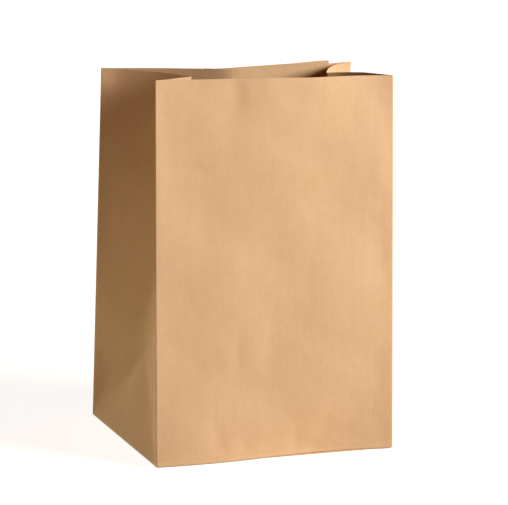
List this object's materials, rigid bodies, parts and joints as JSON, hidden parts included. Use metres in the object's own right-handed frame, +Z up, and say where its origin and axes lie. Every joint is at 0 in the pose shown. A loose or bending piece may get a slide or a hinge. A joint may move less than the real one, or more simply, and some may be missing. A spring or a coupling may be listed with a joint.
{
  "type": "paper bag",
  "caption": "Brown kraft paper bag, open at the top, with tucked side gussets and a flat pasted block bottom.",
  "frame": {"origin": "centre of the underside, where the bag stands", "axes": "+Z up through the open mouth, -Y out of the front panel, +X to the right along the front panel"},
  "size_m": [0.2051, 0.1295, 0.2799],
  "materials": {
    "kraft_paper": "matt uncoated brown kraft paper with a faint sheen"
  },
  "bodies": {
    "root": {"paper_bag": "kraft_paper"}
  },
  "joints": []
}
